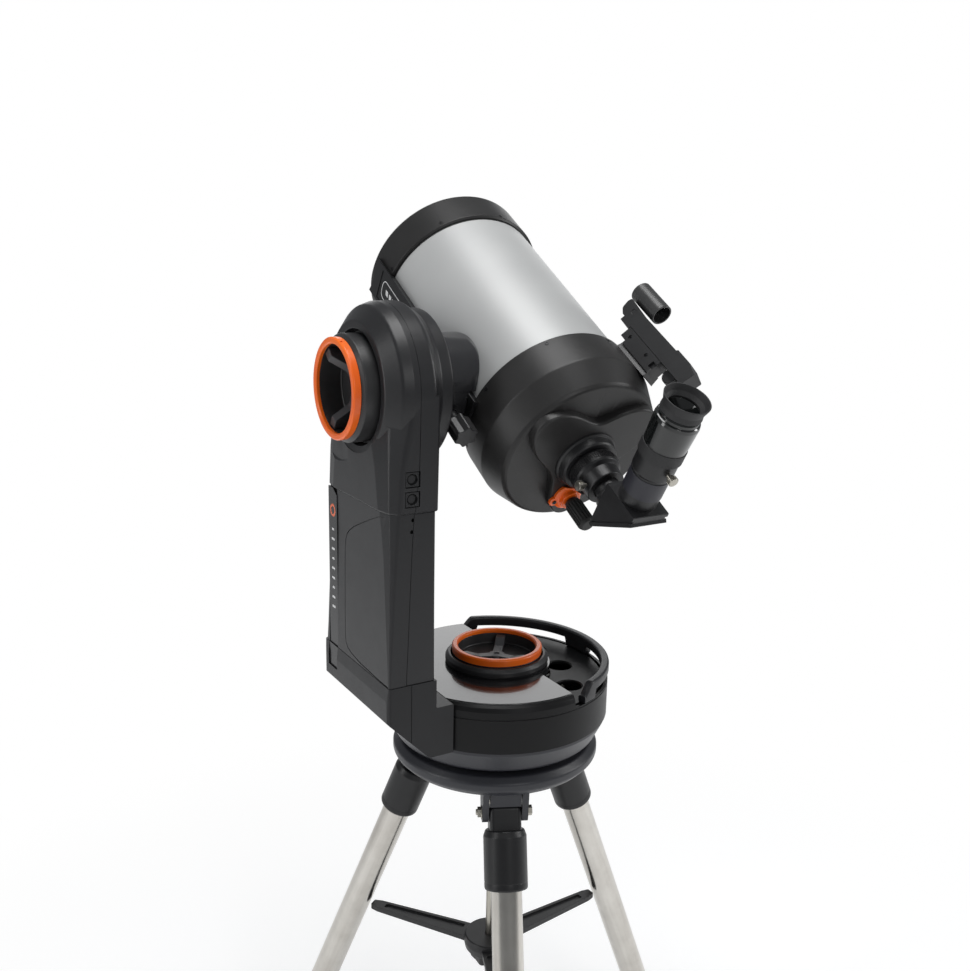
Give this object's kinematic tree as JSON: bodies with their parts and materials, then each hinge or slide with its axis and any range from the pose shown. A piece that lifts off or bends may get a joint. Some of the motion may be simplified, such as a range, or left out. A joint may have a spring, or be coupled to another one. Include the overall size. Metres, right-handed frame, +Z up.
{
  "type": "schmidt cassegrain telescope",
  "caption": "Short wide catadioptric telescope on a motorised single-arm fork mount and folding tripod, with star diagonal, eyepiece and red-dot finder.",
  "frame": {"origin": "middle of the bounding box footprint, on the floor under the feet; the azimuth axis is at X = -76 mm, Y = +18 mm", "axes": "+Z up; the eyepiece end faces -Y, the tube points to +Y and up, the fork arm is on the -X side"},
  "size_m": [0.6277, 0.6717, 1.4124],
  "materials": {
    "cast_aluminium": "powder-coated casting, fine satin texture",
    "stainless": "polished stainless tube",
    "steel": "machined steel",
    "bronze": "machined bronze",
    "black_plastic": "satin black moulding",
    "dark_casing": "satin black casing with fine grain",
    "arm_casing": "satin charcoal casing",
    "gloss_deck": "glossy black plate",
    "gloss_hub": "gloss black painted",
    "black_aluminium": "black anodised",
    "silver_tube": "satin silver paint",
    "graphite_cell": "dark graphite paint",
    "optical_glass": "clear coated glass",
    "mirror": "aluminised glass",
    "orange_plastic": "satin orange",
    "rubber": "soft black rubber"
  },
  "bodies": {
    "tripod": {"tripod_head": "cast_aluminium", "centre_rod": "stainless", "base_skirt": "cast_aluminium", "azimuth_worm_wheel": "bronze"},
    "brace": {"leg_brace": "black_plastic"},
    "brace_nut": {"brace_nut": "black_plastic"},
    "fork": {"base_shell": "dark_casing", "deck_plate": "gloss_deck", "eyepiece_tray": "dark_casing", "carry_handle": "dark_casing", "arm_casting": "cast_aluminium", "arm_head_outer": "arm_casing", "arm_head_inner": "arm_casing", "arm_lower_outer": "arm_casing", "arm_lower_inner": "arm_casing", "azimuth_motor": "black_plastic", "altitude_motor": "black_plastic"},
    "azimuth_knob": {"azimuth_clutch_knob": "black_plastic", "azimuth_clutch_ring": "orange_plastic"},
    "altitude_knob": {"altitude_clutch_knob": "black_plastic", "altitude_clutch_ring": "orange_plastic"},
    "azimuth_worm": {"azimuth_worm": "steel"},
    "altitude_worm": {"altitude_worm": "steel"},
    "saddle": {"altitude_shaft": "steel", "altitude_worm_wheel": "bronze", "altitude_hub": "gloss_hub"},
    "hub_clamp": {"hub_clamp_knob": "black_plastic"},
    "tube": {"dovetail_bar": "black_aluminium", "optical_tube": "silver_tube", "front_cell": "graphite_cell", "corrector_plate": "optical_glass", "corrector_retainer": "black_plastic", "secondary_cell": "black_plastic", "secondary_mirror": "mirror", "rear_cell": "graphite_cell", "baffle_tube": "black_aluminium", "focuser_flange": "orange_plastic", "visual_back": "black_aluminium", "finder_bracket": "black_plastic", "finder_body": "black_plastic"},
    "focuser": {"focus_knob": "rubber"},
    "mirror": {"primary_mirror": "mirror"},
    "back_screw": {"visual_back_thumbscrew": "steel"},
    "diagonal": {"star_diagonal": "black_aluminium"},
    "diagonal_screw": {"diagonal_thumbscrew": "steel"},
    "eyepiece": {"eyepiece": "black_aluminium", "eyecup": "rubber"},
    "finder_wheel": {"finder_wheel": "black_plastic"},
    "leg_1": {"leg_sleeve_1": "black_plastic", "leg_upper_tube_1": "stainless"},
    "lower_leg_1": {"leg_lower_tube_1": "stainless"},
    "leg_clamp_1": {"leg_clamp_screw_1": "black_plastic"},
    "leg_2": {"leg_sleeve_2": "black_plastic", "leg_upper_tube_2": "stainless"},
    "lower_leg_2": {"leg_lower_tube_2": "stainless"},
    "leg_clamp_2": {"leg_clamp_screw_2": "black_plastic"},
    "leg_3": {"leg_sleeve_3": "black_plastic", "leg_upper_tube_3": "stainless"},
    "lower_leg_3": {"leg_lower_tube_3": "stainless"},
    "leg_clamp_3": {"leg_clamp_screw_3": "black_plastic"}
  },
  "joints": [
    {"name": "leg_fold_1", "type": "hinge", "parent": "tripod", "child": "leg_1", "pos_m": [-0.12238, -0.08472, 0.64], "axis": [0.9114, -0.4115, 0], "range_deg": [0, 20]},
    {"name": "leg_slide_1", "type": "slide", "parent": "leg_1", "child": "lower_leg_1", "axis": [-0.1542, -0.3414, -0.9272], "range_m": [0, 0.3]},
    {"name": "leg_clamp_turn_1", "type": "hinge", "parent": "leg_1", "child": "leg_clamp_1", "pos_m": [-0.21425, -0.2882, 0.0874], "axis": [0.9114, -0.4115, 0], "range_deg": [0, 360]},
    {"name": "leg_fold_2", "type": "hinge", "parent": "tripod", "child": "leg_2", "pos_m": [0.03614, 0.02919, 0.64], "axis": [-0.0993, 0.9951, 0], "range_deg": [0, 20]},
    {"name": "leg_slide_2", "type": "slide", "parent": "leg_2", "child": "lower_leg_2", "axis": [0.3728, 0.0372, -0.9272], "range_m": [0, 0.3]},
    {"name": "leg_clamp_turn_2", "type": "hinge", "parent": "leg_2", "child": "leg_clamp_2", "pos_m": [0.2583, 0.05137, 0.0874], "axis": [-0.0993, 0.9951, 0], "range_deg": [0, 360]},
    {"name": "leg_fold_3", "type": "hinge", "parent": "tripod", "child": "leg_3", "pos_m": [-0.14177, 0.10952, 0.64], "axis": [-0.8121, -0.5835, 0], "range_deg": [0, 20]},
    {"name": "leg_slide_3", "type": "slide", "parent": "leg_3", "child": "lower_leg_3", "axis": [-0.2186, 0.3042, -0.9272], "range_m": [0, 0.3]},
    {"name": "leg_clamp_turn_3", "type": "hinge", "parent": "leg_3", "child": "leg_clamp_3", "pos_m": [-0.27205, 0.29083, 0.0874], "axis": [-0.8121, -0.5835, 0], "range_deg": [0, 360]},
    {"name": "brace_turn", "type": "hinge", "parent": "tripod", "child": "brace", "pos_m": [-0.076, 0.018, 0.372], "axis": [0, 0, 1], "range_deg": [0, 60]},
    {"name": "brace_nut_turn", "type": "hinge", "parent": "tripod", "child": "brace_nut", "pos_m": [-0.076, 0.018, 0.353], "axis": [0, 0, 1], "continuous": true},
    {"name": "azimuth", "type": "hinge", "parent": "tripod", "child": "fork", "pos_m": [-0.076, 0.018, 0.752], "axis": [0, 0, 1], "continuous": true},
    {"name": "azimuth_clutch_turn", "type": "hinge", "parent": "fork", "child": "azimuth_knob", "pos_m": [-0.076, 0.018, 0.812], "axis": [0, 0, 1], "range_deg": [0, 360]},
    {"name": "azimuth_worm_turn", "type": "hinge", "parent": "fork", "child": "azimuth_worm", "pos_m": [0.022, 0.018, 0.749], "axis": [0, 1, 0], "continuous": true},
    {"name": "altitude", "type": "hinge", "parent": "fork", "child": "saddle", "pos_m": [-0.076, 0.018, 1.186], "axis": [1, 0, 0], "range_deg": [-45, 60]},
    {"name": "altitude_clutch_turn", "type": "hinge", "parent": "fork", "child": "altitude_knob", "pos_m": [-0.291, 0.018, 1.186], "axis": [-1, 0, 0], "range_deg": [0, 360]},
    {"name": "altitude_worm_turn", "type": "hinge", "parent": "fork", "child": "altitude_worm", "pos_m": [-0.256, 0.018, 1.118], "axis": [0, 1, 0], "range_deg": [-8200, 10900]},
    {"name": "hub_clamp_turn", "type": "hinge", "parent": "saddle", "child": "hub_clamp", "pos_m": [-0.179, -0.05939, 1.14005], "axis": [0, -0.8599, -0.5105], "range_deg": [0, 720]},
    {"name": "balance_slide", "type": "slide", "parent": "saddle", "child": "tube", "axis": [0, 0.8599, 0.5105], "range_m": [-0.06, 0]},
    {"name": "focus_turn", "type": "hinge", "parent": "tube", "child": "focuser", "pos_m": [-0.046, -0.11525, 1.03827], "axis": [0, 0.8599, 0.5105], "range_deg": [-1441, 5761]},
    {"name": "mirror_slide", "type": "slide", "parent": "tube", "child": "mirror", "axis": [0, 0.8599, 0.5105], "range_m": [-0.003, 0.012]},
    {"name": "back_screw_turn", "type": "hinge", "parent": "tube", "child": "back_screw", "pos_m": [-0.074, -0.15655, 1.08236], "axis": [-1, 0, 0], "range_deg": [0, 720]},
    {"name": "diagonal_turn", "type": "hinge", "parent": "tube", "child": "diagonal", "pos_m": [-0.042, -0.15827, 1.08134], "axis": [0, 0.8599, 0.5105], "range_deg": [-90, 90]},
    {"name": "diagonal_screw_turn", "type": "hinge", "parent": "diagonal", "child": "diagonal_screw", "pos_m": [-0.042, -0.27972, 1.11157], "axis": [0, -0.8599, -0.5105], "range_deg": [0, 720]},
    {"name": "eyepiece_pull", "type": "slide", "parent": "diagonal", "child": "eyepiece", "axis": [0, -0.5105, 0.8599], "range_m": [0, 0.045]},
    {"name": "finder_dial_turn", "type": "hinge", "parent": "tube", "child": "finder_wheel", "pos_m": [0.04735, -0.1619, 1.20302], "axis": [0.766, 0.3282, -0.5527], "range_deg": [0, 270]}
  ],
  "couplings": [
    {"joint": "leg_fold_2", "follows": "leg_fold_1", "ratio": 1},
    {"joint": "leg_fold_3", "follows": "leg_fold_1", "ratio": 1},
    {"joint": "brace_turn", "follows": "leg_fold_1", "ratio": 3},
    {"joint": "azimuth_worm_turn", "follows": "azimuth", "ratio": 180},
    {"joint": "altitude_worm_turn", "follows": "altitude", "ratio": 180},
    {"joint": "focus_turn", "follows": "mirror_slide", "rad_per_m": 8377.6}
  ]
}
